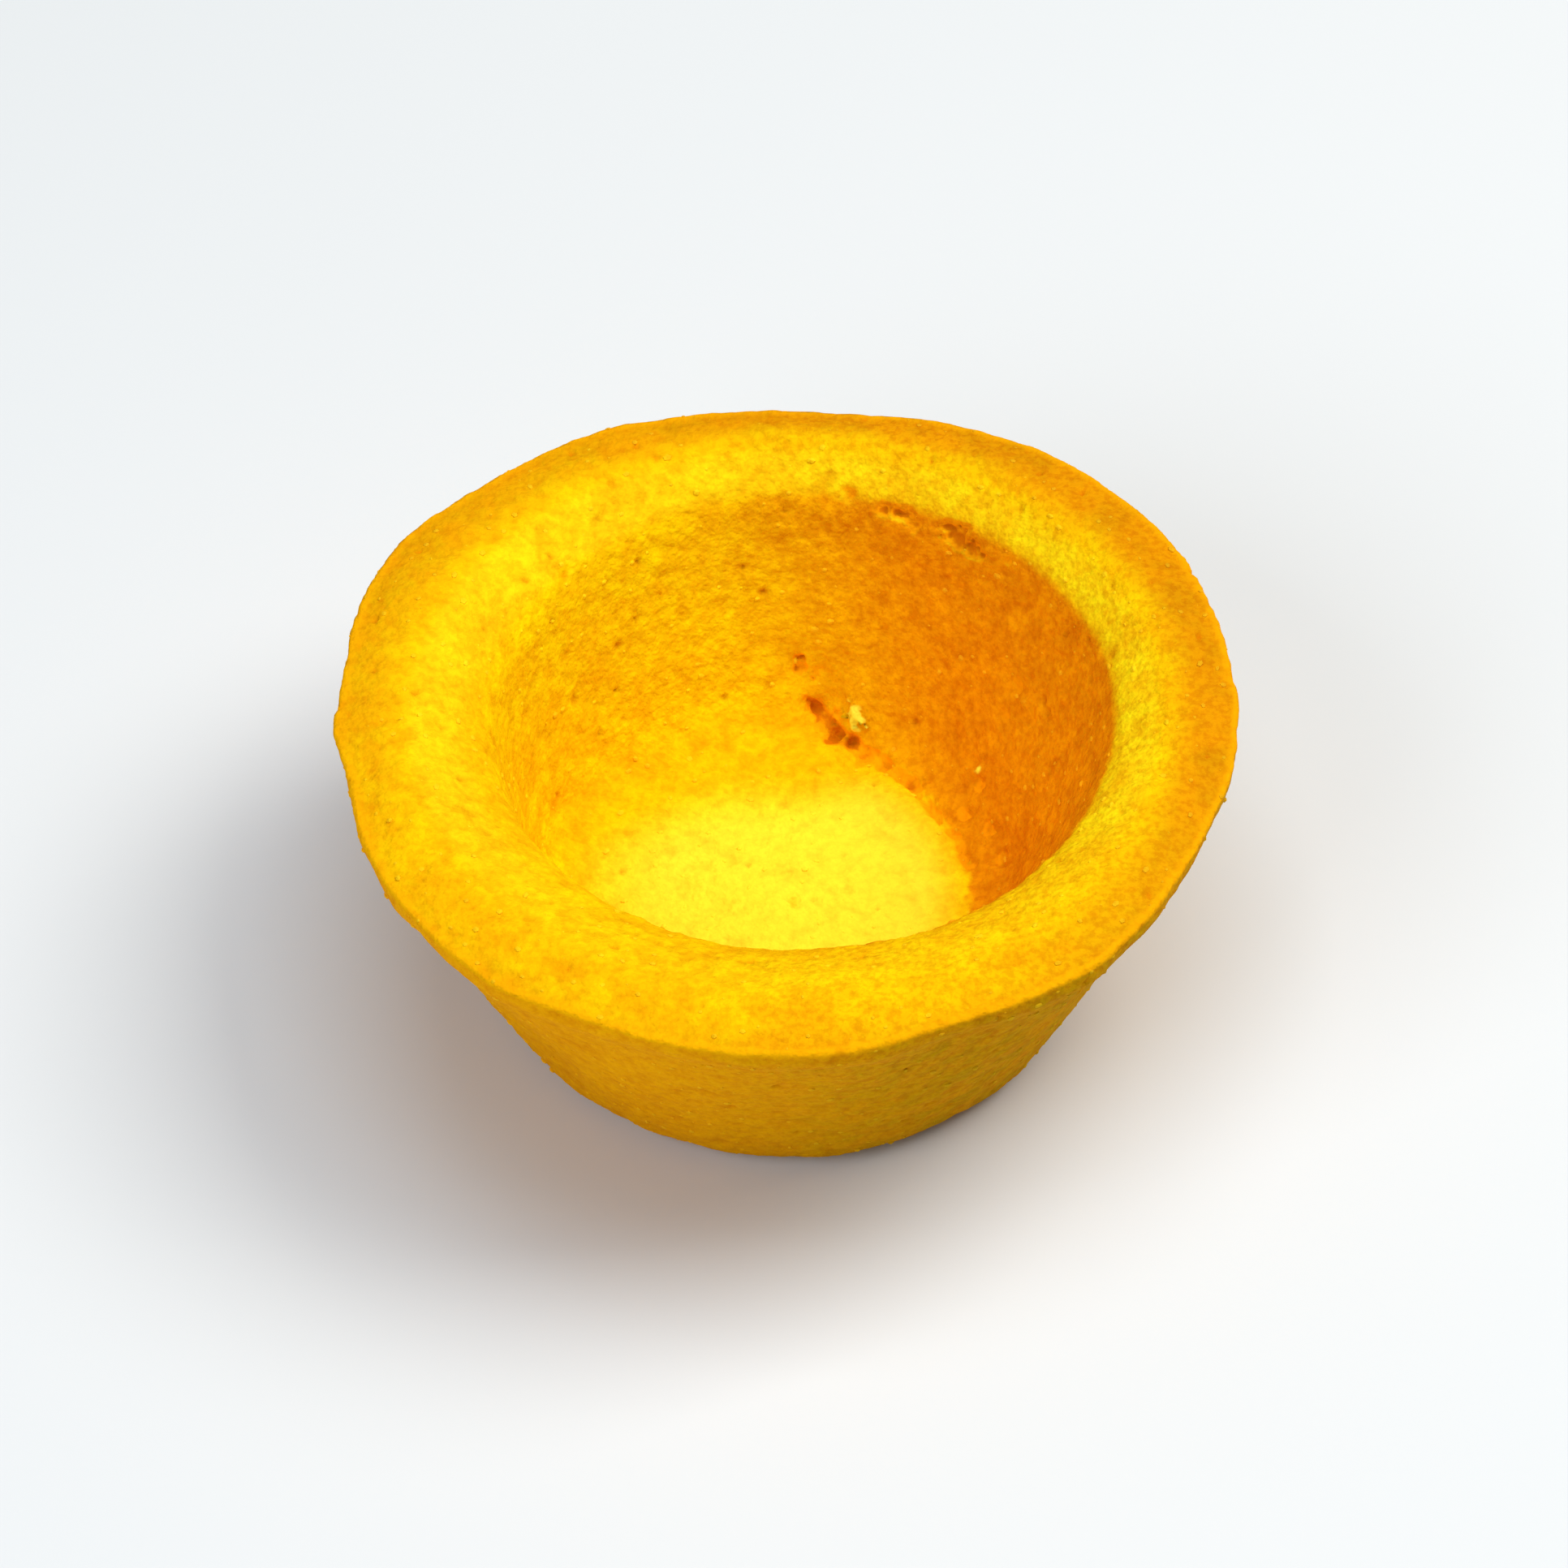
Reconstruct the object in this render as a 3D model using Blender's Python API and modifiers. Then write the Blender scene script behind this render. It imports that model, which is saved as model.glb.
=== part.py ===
"""An empty tart case: one small round cup of baked shortcrust pastry with a thick rim and a low lip.

Metres, +Z up. The case stands on z = 0 with its open side up, and the middle of its outline is over the
origin. Angles run round the case from +X at 0 degrees to +Y at 90 degrees; the front is -Y.
"""

import math
from collections import namedtuple

import bpy
from mathutils import Matrix, Vector, noise

COLLECTION_NAME = "tart"
NODE_NAME = "tart_case"
STEPS_ROUND = 108

# Driving dimensions of the outside
RIM_RADIUS = 0.0250
RIM_HEIGHT = 0.0202
WALL_SLOPE = math.radians(24.5)
LIP_EDGE_HEIGHT = 0.0193
LIP_DEPTH = 0.0028
LIP_OVERHANG = 0.0003
BASE_ROUNDING = 0.0027

# Driving dimensions of the cavity and of the rim's top
FLOOR_HEIGHT = 0.0045
FLOOR_RADIUS = 0.0128
FLOOR_ROUNDING = 0.0030
CAVITY_SLOPE = math.radians(18.0)
MOUTH_HEIGHT = 0.0180
MOUTH_ROUNDING = 0.0026
CREST_RADIUS = 0.0213
CREST_ROUNDING = 0.0040
LIP_ROUNDING = 0.0006

# The cavity leans: it is pressed to the back right at its mouth and to the back left at its floor
MOUTH_SHIFT = Vector((0.0009, 0.0013, 0.0))
FLOOR_SHIFT = Vector((-0.0006, 0.0005, 0.0))

# How much finer or coarser the section is cut in its straight stretches, and how its arcs are cut
WALL_PIECE = 0.0017
FLOOR_PIECE = 0.0028
ARC_PIECE = math.radians(22.0)

# Waves of the rim's outline: angle and half-width in degrees, and how far the rim stands out there
RimWave = namedtuple("RimWave", "angle half_width height")
RIM_WAVES = (
    RimWave(150, 22, 0.00055),
    RimWave(186, 28, -0.00055),
    RimWave(181, 6, 0.00030),
    RimWave(229, 14, 0.00032),
    RimWave(270, 18, 0.00022),
    RimWave(293, 10, -0.00038),
    RimWave(312, 9, 0.00035),
    RimWave(336, 20, -0.00018),
    RimWave(32, 26, 0.00040),
    RimWave(90, 34, -0.00090),
)

# Lumps and dents in the surface: where they are, how far they reach, and how far they stand out
Lump = namedtuple("Lump", "place reach height")
LUMPS = (
    Lump(Vector((0.0105, 0.0056, 0.0058)), 0.0060, 0.00060),
    Lump(Vector((0.0008, 0.0145, 0.0080)), 0.0018, -0.00045),
    Lump(Vector((0.0024, 0.0132, 0.0056)), 0.0021, -0.00070),
    Lump(Vector((0.0043, 0.0108, 0.0046)), 0.0019, -0.00050),
    Lump(Vector((0.0041, 0.0132, 0.0060)), 0.0015, 0.00045),
    Lump(Vector((-0.0140, -0.0135, 0.0080)), 0.0050, -0.00030),
    Lump(Vector((0.0205, 0.0040, 0.0110)), 0.0055, 0.00030),
)

# Unevenness all over: the size of one swell and how far it stands out, broad and fine
BROAD_SWELL = 0.0085
BROAD_HEIGHT = 0.00022
FINE_SWELL = 0.0030
FINE_HEIGHT = 0.00011
RIM_RISE_SWELL = 0.0110
RIM_RISE = 0.00030
RAGGED_SWELL = 0.0022
RAGGED_DEPTH = 0.00022
BROAD_SEED = Vector((3.7, 1.2, 8.4))
FINE_SEED = Vector((11.3, 6.1, 2.9))
RISE_SEED = Vector((5.5, 9.8, 0.4))
RAGGED_SEED = Vector((2.6, 14.2, 7.7))
FLAT_ZONE = 0.0022

PASTRY_COLOR = (0.80, 0.42, 0.05, 1.0)
PASTRY_ROUGHNESS = 0.85

# A corner of the section: radius and height before rounding, its rounding, and how finely the straight
# stretch after it is cut
Corner = namedtuple("Corner", "place rounding piece")


def clear_scene():
    """Remove whatever the file opened with."""
    for thing in list(bpy.data.objects):
        bpy.data.objects.remove(thing, do_unlink=True)


def ramp(value, start, end):
    """Go smoothly from 0 at start to 1 at end."""
    share = min(max((value - start) / (end - start), 0.0), 1.0)
    return share * share * (3.0 - 2.0 * share)


def hill(distance, reach):
    """A smooth hill: 1 in the middle, 0 from reach on."""
    share = min(abs(distance) / reach, 1.0)
    return (1.0 - share * share) ** 2


def section_corners():
    """Corners of half the section, from the floor's middle over the rim and down the outside."""
    wall_foot = RIM_RADIUS - LIP_OVERHANG - LIP_EDGE_HEIGHT * math.tan(WALL_SLOPE)
    under_lip = LIP_EDGE_HEIGHT - LIP_DEPTH
    lip_middle = RIM_RADIUS - LIP_OVERHANG
    mouth_radius = FLOOR_RADIUS + (MOUTH_HEIGHT - FLOOR_HEIGHT) * math.tan(CAVITY_SLOPE)
    wall_top = wall_foot + under_lip * math.tan(WALL_SLOPE)
    return (
        Corner(Vector((0.0, FLOOR_HEIGHT)), 0.0, FLOOR_PIECE),
        Corner(Vector((FLOOR_RADIUS, FLOOR_HEIGHT)), FLOOR_ROUNDING, WALL_PIECE),
        Corner(Vector((mouth_radius, MOUTH_HEIGHT)), MOUTH_ROUNDING, WALL_PIECE),
        Corner(Vector((CREST_RADIUS, RIM_HEIGHT)), CREST_ROUNDING, WALL_PIECE),
        Corner(Vector((RIM_RADIUS, LIP_EDGE_HEIGHT)), LIP_ROUNDING, WALL_PIECE),
        Corner(Vector((lip_middle, LIP_EDGE_HEIGHT - 0.45 * LIP_DEPTH)), LIP_ROUNDING, WALL_PIECE),
        Corner(Vector((wall_top, under_lip)), LIP_ROUNDING, WALL_PIECE),
        Corner(Vector((wall_foot, 0.0)), BASE_ROUNDING, wall_foot),
        Corner(Vector((0.0, 0.0)), 0.0, wall_foot),
    )


def corner_arc(before, corner, after):
    """Points of the arc that rounds one corner."""
    inward = (corner.place - before.place).normalized()
    outward = (after.place - corner.place).normalized()
    turn = -inward.angle_signed(outward)
    start = corner.place - inward * corner.rounding * math.tan(abs(turn) / 2)
    to_centre = Matrix.Rotation(math.copysign(math.pi / 2, turn), 2) @ inward
    centre = start + to_centre * corner.rounding
    pieces = max(1, math.ceil(abs(turn) / ARC_PIECE))
    return [
        centre + Matrix.Rotation(turn * piece / pieces, 2) @ (start - centre)
        for piece in range(pieces + 1)
    ]


def section_outline():
    """Half the section as one line of points, its corners rounded and its long stretches cut."""
    corners = section_corners()
    outline = [corners[0].place]
    for before, corner, after in zip(corners, corners[1:], corners[2:]):
        arc = corner_arc(before, corner, after)
        outline += straight_run(outline[-1], arc[0], before.piece) + arc[1:]
    outline += straight_run(outline[-1], corners[-1].place, corners[-1].piece)
    return outline


def straight_run(start, end, piece):
    """Points after start on the way to end, no further apart than one piece."""
    steps = max(1, math.ceil((end - start).length / piece))
    return [start.lerp(end, step / steps) for step in range(1, steps + 1)]


def turned_case(collection):
    """Turn the section into the plain closed case with a Screw modifier."""
    outline = section_outline()
    mesh = bpy.data.meshes.new("section")
    edges = [(index, index + 1) for index in range(len(outline) - 1)]
    mesh.from_pydata([(point.x, 0.0, point.y) for point in outline], edges, [])
    section = bpy.data.objects.new("section", mesh)
    collection.objects.link(section)
    screw = section.modifiers.new("turn", "SCREW")
    screw.axis = "Z"
    screw.angle = math.tau
    screw.steps = STEPS_ROUND
    screw.render_steps = STEPS_ROUND
    screw.use_merge_vertices = True
    screw.merge_threshold = 0.00001
    screw.use_normal_calculate = False
    turned = bpy.data.meshes.new_from_object(section.evaluated_get(bpy.context.evaluated_depsgraph_get()))
    turned.name = NODE_NAME
    bpy.data.objects.remove(section, do_unlink=True)
    bpy.data.meshes.remove(mesh)
    return turned


def swell(place, seed, size):
    """Smooth noise from -1 to 1 whose swells are about one size across."""
    return noise.noise(place / size + seed)


def rim_offset(place):
    """How far the rim stands out at this angle: its named waves and its ragged edge."""
    angle = math.degrees(math.atan2(place.y, place.x))
    offset = 0.0
    for wave in RIM_WAVES:
        away = (angle - wave.angle + 180.0) % 360.0 - 180.0
        offset += wave.height * hill(away, wave.half_width)
    return offset + RAGGED_DEPTH * swell(place, RAGGED_SEED, RAGGED_SWELL)


def cavity_shift(place, normal):
    """Lean the cavity: how far this point of it moves sideways."""
    outwards = Vector((place.x, place.y, 0.0))
    if normal.z < 0.0 or normal.dot(outwards) > 0.25 * outwards.length:
        return Vector()
    mouth_share = ramp(place.z, FLOOR_HEIGHT, MOUTH_HEIGHT)
    rim_fade = 1.0 - ramp(outwards.length, 0.8 * CREST_RADIUS, 1.08 * CREST_RADIUS)
    return FLOOR_SHIFT.lerp(MOUTH_SHIFT, mouth_share) * rim_fade


def surface_height(place):
    """How far the surface stands out here: its even unevenness and the named lumps and dents."""
    height = BROAD_HEIGHT * swell(place, BROAD_SEED, BROAD_SWELL)
    height += FINE_HEIGHT * swell(place, FINE_SEED, FINE_SWELL)
    for lump in LUMPS:
        height += lump.height * hill((place - lump.place).length, lump.reach)
    return height


def shape_pastry(mesh):
    """Press the plain turned case into its uneven baked form; the flat base stays flat."""
    normals = [vertex.normal.copy() for vertex in mesh.vertices]
    for vertex, normal in zip(mesh.vertices, normals):
        place = vertex.co.copy()
        radius = Vector((place.x, place.y)).length
        place += cavity_shift(place, normal)
        above_ground = ramp(vertex.co.z, 0.0, FLAT_ZONE)
        rim_share = ramp(radius, 0.8 * RIM_RADIUS, 0.98 * RIM_RADIUS)
        outwards = Vector((place.x, place.y, 0.0)).normalized()
        rise = RIM_RISE * swell(place, RISE_SEED, RIM_RISE_SWELL) * ramp(place.z, MOUTH_HEIGHT, RIM_HEIGHT)
        moved = place + normal * surface_height(place) * above_ground
        moved += outwards * rim_offset(place) * rim_share
        moved.z += rise
        vertex.co = moved
    mesh.update()


def centre_over_origin(mesh):
    """Put the middle of the outline over the origin, seen from above."""
    for axis in range(2):
        values = [vertex.co[axis] for vertex in mesh.vertices]
        middle = (min(values) + max(values)) / 2
        for vertex in mesh.vertices:
            vertex.co[axis] -= middle


def pastry_material():
    """Plain baked pastry, golden yellow and dull."""
    material = bpy.data.materials.new("pastry")
    material.use_nodes = True
    shader = material.node_tree.nodes["Principled BSDF"]
    shader.inputs["Base Color"].default_value = PASTRY_COLOR
    shader.inputs["Roughness"].default_value = PASTRY_ROUGHNESS
    shader.inputs["Metallic"].default_value = 0.0
    return material


def main():
    clear_scene()
    collection = bpy.data.collections.new(COLLECTION_NAME)
    bpy.context.scene.collection.children.link(collection)
    mesh = turned_case(collection)
    shape_pastry(mesh)
    centre_over_origin(mesh)
    mesh.materials.clear()
    mesh.materials.append(pastry_material())
    mesh.shade_smooth()
    case = bpy.data.objects.new(NODE_NAME, mesh)
    collection.objects.link(case)


main()
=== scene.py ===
"""Dresses an empty tart case of baked shortcrust: its crumb, pores, crease and loose grains, and a stage.

Metres, +Z up. The case stands on z = 0 with its open side up, and the front is -Y. The file is laid out as
an add-on: one operator makes each piece, and one makes the stage.
"""

import math
from collections import namedtuple

import bmesh
import bpy
import numpy as np
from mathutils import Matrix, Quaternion, Vector, noise


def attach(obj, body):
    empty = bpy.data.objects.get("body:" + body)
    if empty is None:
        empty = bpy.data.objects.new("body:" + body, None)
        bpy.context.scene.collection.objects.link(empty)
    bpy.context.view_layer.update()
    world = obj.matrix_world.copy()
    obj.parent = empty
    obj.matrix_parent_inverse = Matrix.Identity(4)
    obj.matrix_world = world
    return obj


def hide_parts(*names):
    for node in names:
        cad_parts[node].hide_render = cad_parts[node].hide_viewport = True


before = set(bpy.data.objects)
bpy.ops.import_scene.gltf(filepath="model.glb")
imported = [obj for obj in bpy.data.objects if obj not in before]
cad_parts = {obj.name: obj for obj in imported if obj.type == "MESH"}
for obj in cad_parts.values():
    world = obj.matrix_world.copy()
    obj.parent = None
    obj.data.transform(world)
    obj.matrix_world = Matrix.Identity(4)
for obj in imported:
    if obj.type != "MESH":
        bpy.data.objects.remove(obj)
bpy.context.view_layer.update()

bl_info = {
    "name": "Tart case",
    "version": (1, 0, 0),
    "blender": (4, 5, 0),
    "location": "3D View > Sidebar > Tart",
    "description": "Makes the pastry surface of an empty tart case and a plain studio stage",
    "category": "Add Mesh",
}

# What the frame calls the case, and where the sizes go
NODE = "tart_case"
BODY = "root"

# The case's own measures, which the frame holds as a solid
BASE_MIDDLE = Vector((-0.0001, 0.0006, 0.0))
RIM_MIDDLE = BASE_MIDDLE + Vector((0.0, 0.0, 0.0200))
FLOOR_HEIGHT = 0.0045
CAVITY_FOOT_RADIUS = 0.0128
CAVITY_FLARE = 0.325
CREST_RADIUS = 0.0213
PALE_MIDDLE = Vector((-0.0014, 0.0002, 0.0))

# The edge where the floor meets the wall at the back right, from its upper end to its lower one
CREASE_PATH = (
    Vector((0.0010, 0.0145, 0.0063)),
    Vector((0.0018, 0.0141, 0.0056)),
    Vector((0.0032, 0.0126, 0.0048)),
    Vector((0.0053, 0.0110, 0.0047)),
    Vector((0.0070, 0.0091, 0.0046)),
    Vector((0.0081, 0.0070, 0.0046)),
    Vector((0.0093, 0.0051, 0.0046)),
    Vector((0.0102, 0.0024, 0.0046)),
    Vector((0.0104, 0.0000, 0.0047)),
)
CREASE_WIDTHS = (0.0003, 0.0006, 0.0007, 0.0006, 0.0006, 0.0006, 0.0006, 0.0006, 0.0004)
CREASE_DEPTHS = (0.00015, 0.00035, 0.00040, 0.00036, 0.00034, 0.00034, 0.00032, 0.00028, 0.0)

# How much painted shade the crease takes where it is deepest, and how its depth comes and goes
CREASE_SHADE = 0.45
CREASE_EVENNESS = 0.9
CREASE_BREAKS = 1.3
CREASE_GREATEST = 2.0

# Single marks: where, how far they reach and stand out, and how much painted shade they take, or below 0
# how pale they are, partly a painted highlight
Mark = namedtuple("Mark", "place reach height shade")
MARKS = (
    # Torn corner of the floor: dents, a raised flap and a pale crumb
    Mark(Vector((0.0007, 0.0154, 0.0084)), 0.0005, -0.00022, 0.42),
    Mark(Vector((0.0009, 0.0151, 0.0078)), 0.0006, -0.00030, 0.62),
    Mark(Vector((0.0016, 0.0150, 0.0078)), 0.0007, -0.00016, 0.24),
    Mark(Vector((0.0024, 0.0149, 0.0078)), 0.0007, -0.00012, 0.18),
    Mark(Vector((0.0018, 0.0141, 0.0056)), 0.0006, -0.00034, 0.90),
    Mark(Vector((0.0023, 0.0136, 0.0050)), 0.0012, 0.00020, 0.36),
    Mark(Vector((0.0029, 0.0136, 0.0053)), 0.0011, 0.00032, 0.32),
    Mark(Vector((0.0026, 0.0127, 0.0047)), 0.0006, -0.00032, 1.00),
    Mark(Vector((0.0037, 0.0124, 0.0047)), 0.0006, -0.00030, 0.66),
    Mark(Vector((0.0042, 0.0114, 0.0046)), 0.0007, -0.00026, 0.50),
    Mark(Vector((0.0053, 0.0107, 0.0046)), 0.0006, -0.00024, 0.42),
    Mark(Vector((0.0070, 0.0091, 0.0046)), 0.0006, -0.00024, 0.60),
    Mark(Vector((0.0040, 0.0136, 0.0062)), 0.0006, 0.00042, -1.00),
    Mark(Vector((0.0040, 0.0133, 0.0056)), 0.0006, 0.00056, -1.00),
    Mark(Vector((0.0041, 0.0131, 0.0051)), 0.0005, 0.00042, -0.90),
    # Cracks and dents under the rim at the back right
    Mark(Vector((0.0058, 0.0181, 0.0175)), 0.0005, -0.00026, 0.90),
    Mark(Vector((0.0064, 0.0179, 0.0175)), 0.0005, -0.00030, 1.00),
    Mark(Vector((0.0070, 0.0177, 0.0175)), 0.0005, -0.00028, 0.90),
    Mark(Vector((0.0076, 0.0173, 0.0171)), 0.0005, -0.00024, 0.70),
    Mark(Vector((0.0093, 0.0166, 0.0176)), 0.0005, -0.00028, 0.90),
    Mark(Vector((0.0099, 0.0160, 0.0172)), 0.0009, -0.00040, 1.00),
    Mark(Vector((0.0106, 0.0154, 0.0170)), 0.0007, -0.00034, 0.90),
    Mark(Vector((0.0112, 0.0149, 0.0169)), 0.0005, -0.00026, 0.80),
    Mark(Vector((0.0039, 0.0188, 0.0180)), 0.0006, -0.00018, 0.40),
    Mark(Vector((0.0124, 0.0137, 0.0176)), 0.0005, -0.00020, 0.50),
    # Dents and crumbs elsewhere
    Mark(Vector((0.0101, 0.0060, 0.0048)), 0.0006, -0.00022, 0.50),
    Mark(Vector((0.0116, 0.0045, 0.0053)), 0.0007, -0.00026, 0.60),
    Mark(Vector((0.0121, 0.0024, 0.0053)), 0.0007, -0.00022, 0.50),
    Mark(Vector((0.0113, 0.0072, 0.0061)), 0.0006, -0.00020, 0.50),
    Mark(Vector((0.0130, 0.0094, 0.0118)), 0.0005, -0.00018, 0.45),
    Mark(Vector((0.0124, 0.0089, 0.0100)), 0.0005, -0.00018, 0.45),
    Mark(Vector((0.0138, 0.0073, 0.0112)), 0.0005, -0.00016, 0.40),
    Mark(Vector((0.0113, 0.0078, 0.0068)), 0.0006, 0.00026, -0.60),
    Mark(Vector((0.0134, 0.0086, 0.0116)), 0.0005, 0.00020, -0.35),
    Mark(Vector((0.0003, 0.0002, 0.0045)), 0.0006, -0.00026, 0.26),
    Mark(Vector((0.0015, -0.0010, 0.0045)), 0.0005, -0.00016, 0.18),
    Mark(Vector((-0.0121, 0.0132, 0.0177)), 0.0006, -0.00026, 0.26),
    Mark(Vector((-0.0214, 0.0006, 0.0188)), 0.0009, -0.00026, 0.16),
)

# How broken the outlines of the marks are: width of one swell, its share of a mark's reach, and how many
# times as far as its reach a mark goes at most
MARK_RAGGEDNESS = 0.0004
MARK_RAGGED_SHARE = 0.9
MARK_GREATEST = 2.0

# How the solid is made a fine mesh
MERGE_DISTANCE = 0.000002
FACET_LEVELS = 2
SMOOTHING_FACTOR = 0.5

# A zone: a value counts for nothing at its start and fully at its end, or the other way round in a fall
Zone = namedtuple("Zone", "start end")

# Zones by height
BASE_FLAT = Zone(0.0002, 0.0010)
BASE_EDGE = Zone(0.0025, 0.0035)
FLOOR_FOOT = Zone(0.0050, 0.0064)
WALL_FOOT = Zone(0.0060, 0.0115)
FRAYED_HEIGHTS = Zone(0.0160, 0.0176)
RIM_TOP = Zone(0.0168, 0.0182)
CORNER_HEIGHTS = Zone(0.0175, 0.0185)

# Zones by distance from the middle, and past the cavity's wall
CREST_INSIDE = Zone(0.0168, 0.0184)
CREST_OUTSIDE = Zone(0.0200, 0.0212)
LIP_BAND = Zone(CREST_RADIUS - 0.0008, CREST_RADIUS + 0.0020)
CALMER_EDGE = Zone(0.0222, 0.0240)
FRAYED_EDGE = Zone(0.0228, 0.0244)
CORNER_RADII = Zone(0.0230, 0.0240)
LIP_EDGE = Zone(0.0232, 0.0248)
PAST_CAVITY_WALL = Zone(0.0022, 0.0032)
LEAST_RADIUS = 0.0150

# The crest's ring, a paler crust with a painted highlight, is paler at the back than at the front
CREST_BACKWARDS = Zone(-0.0160, -0.0060)
CREST_FRONT_SHARE = 0.2

# The floor's pale middle, a paler crust with a painted pool of light: how far it reaches at the left and
# the right, and how much less at the back left
PALE_RIGHTWARDS = Zone(-0.0010, 0.0060)
PALE_STARTS = (0.0050, 0.0086)
PALE_END = 0.0118
PALE_SHRINK = 0.0018
FLOOR_BACKWARDS = Zone(0.0030, 0.0090)
FLOOR_RIGHTWARDS = Zone(0.0, 0.0050)
FLOOR_EDGE = Zone(0.0070, 0.0095)

# The cavity's right wall, in painted shade: how far from the pale middle the shade starts, how soft its
# edge is, and how it leans
SHADED_BACKWARDS = Zone(0.0060, 0.0135)
SHADED_STARTS = (0.0114, 0.0128)
SHADED_WANDER = 0.0012
SHADED_SOFTNESS = (0.0030, 0.0005)
SHADED_RIGHTWARDS = Zone(-0.0070, 0.0110)
SHADED_LEAN_HEIGHT = 0.0120
SHADED_LEAN = 0.5

# Sides that are browner, by the share of a direction in the way out from the middle
RIGHTWARDS = Zone(-0.45, 0.50)
BROWNED_DIRECTION = Vector((0.45, 0.89))
BROWNED_TURN = Zone(-1.0, 0.4)
SPARED_DIRECTION = Vector((-0.75, 0.66))
SPARED_TURN = Zone(0.72, 0.96)
SPARED_SHARE = 0.62

# How far the surface faces upwards on the rim, and how nearly the lip's corner is turned by 45 degrees
UPWARD = Zone(0.50, 0.78)
CORNER_TURN = Zone(0.55, 1.0)

# Noise: width of its swells in metres, or in sizes from a tree's inputs, its detail and the part of it used
Pattern = namedtuple("Pattern", "size detail roughness shift")
UNSHIFTED = (0.0, 0.0, 0.0)
CRUMB_PATTERN = Pattern(1.0, 3.0, 0.62, UNSHIFTED)
LUMP_PATTERN = Pattern(1.0, 1.5, 0.5, (4.0, 9.0, 2.0))
FRAY_PATTERN = Pattern(1.7, 2.0, 0.6, (1.0, 5.0, 8.0))
WANDER_PATTERN = Pattern(0.0011, 2.0, 0.6, (3.0, 3.0, 6.0))
PATCH_PATTERN = Pattern(0.0040, 2.0, 0.55, (-0.025, -0.039, 0.0))
BLOTCH_PATTERN = Pattern(0.0014, 2.0, 0.6, (3.0, 1.0, 7.0))
SPECKLE_PATTERN = Pattern(0.00042, 3.0, 0.65, (5.0, 2.0, 9.0))
SHADE_PATTERN = Pattern(0.0005, 2.0, 0.6, (2.0, 6.0, 4.0))
FINE_PATTERN = Pattern(0.00028, 1.0, 0.6, UNSHIFTED)
CLOUD_PATTERN = Pattern(0.25, 1.0, 0.5, UNSHIFTED)

# The crumb's grains, and how much lower the crumb is in some places
CRUMB_GRAIN_SHIFT = (7.1, 3.3, 1.9)
CRUMB_GRAIN_REACH = 0.45
CRUMB_GRAIN_LEAST = 0.3
OUTSIDE_ROUGHNESS = 0.65
LIP_EDGE_ROUGHNESS = 0.45
RIGHT_RIM_CALM = 0.4

# The pores: how ragged they are, and how far they reach in their cells
PORE_WARP_SIZE = 0.0007
PORE_WARP_REACH = 0.0003
PORE_REACH = Zone(0.06, 0.28)

# The sown grains: where none lie, and their smallest size and shapes as shares of the largest size
GRAINS_ABOVE = 0.0006
SMALLEST_GRAIN = 0.35
SLIMMEST_GRAIN = (0.7, 0.7, 0.35)
FULLEST_GRAIN = (1.3, 1.0, 0.7)

# Levels of noise at which the mottling starts and is full, and how much of it some places have
PATCH_LEVELS = Zone(0.40, 0.62)
BLOTCH_LEVELS = Zone(0.34, 0.66)
SPECKLE_LEVELS = Zone(0.34, 0.62)
# Painted shade in the crumb's hollows: full at the first level of relief, gone at the second
HOLLOW_SHADE_LEVELS = Zone(-0.7, 0.1)
FLOOR_MOTTLING = 0.15
FLOOR_SPECKLING = 0.55
INSIDE_PATCHINESS = 0.5
LIT_SIDE_SPECKLING = 0.6

# Painted shade of the marks: how uneven it is, and where dents take orange shade, deep ones dark shade and
# crumbs turn pale with a painted highlight
SHADE_UNEVENNESS = 0.5
SHADE_BREAK_LEVELS = Zone(0.05, 0.3)
DENT_LEVELS = Zone(0.08, 0.32)
DENT_SHADING = 0.75
DEEP_DENT_LEVELS = Zone(0.36, 0.80)
DEEP_DENT_SHADING = 0.85
PALE_CRUMB_LEVELS = Zone(-0.60, -0.25)

# The finest grain, as bump
FINE_GRAIN_SIZE = 0.00042
FINE_GRAIN_SHARE = 0.6
BUMP_STRENGTH = 0.8
BUMP_DISTANCE = 0.00010

# The stage
SoftLight = namedtuple("SoftLight", "name direction tint")
KEY_LIGHT = SoftLight("key_light", Vector((0.55, 0.10, 0.80)), (1.0, 0.965, 0.88))
TOP_LIGHT = SoftLight("top_light", Vector((0.0, 0.0, 1.0)), (0.92, 0.97, 1.0))
FILL_LIGHT = SoftLight("fill_light", Vector((-0.6, -0.6, 0.65)), (0.85, 0.935, 1.0))
LIGHT_DISTANCE = 0.6
LIGHT_WIDTH = 0.35
SKY_COLOR = (0.87, 0.95, 1.0, 1.0)
STAGE_WIDTH = 6.0
STAGE_ROUGHNESS = 0.9
STAGE_SPECULAR = 0.1
CAMERA_REACH = Zone(0.01, 10.0)


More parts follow.
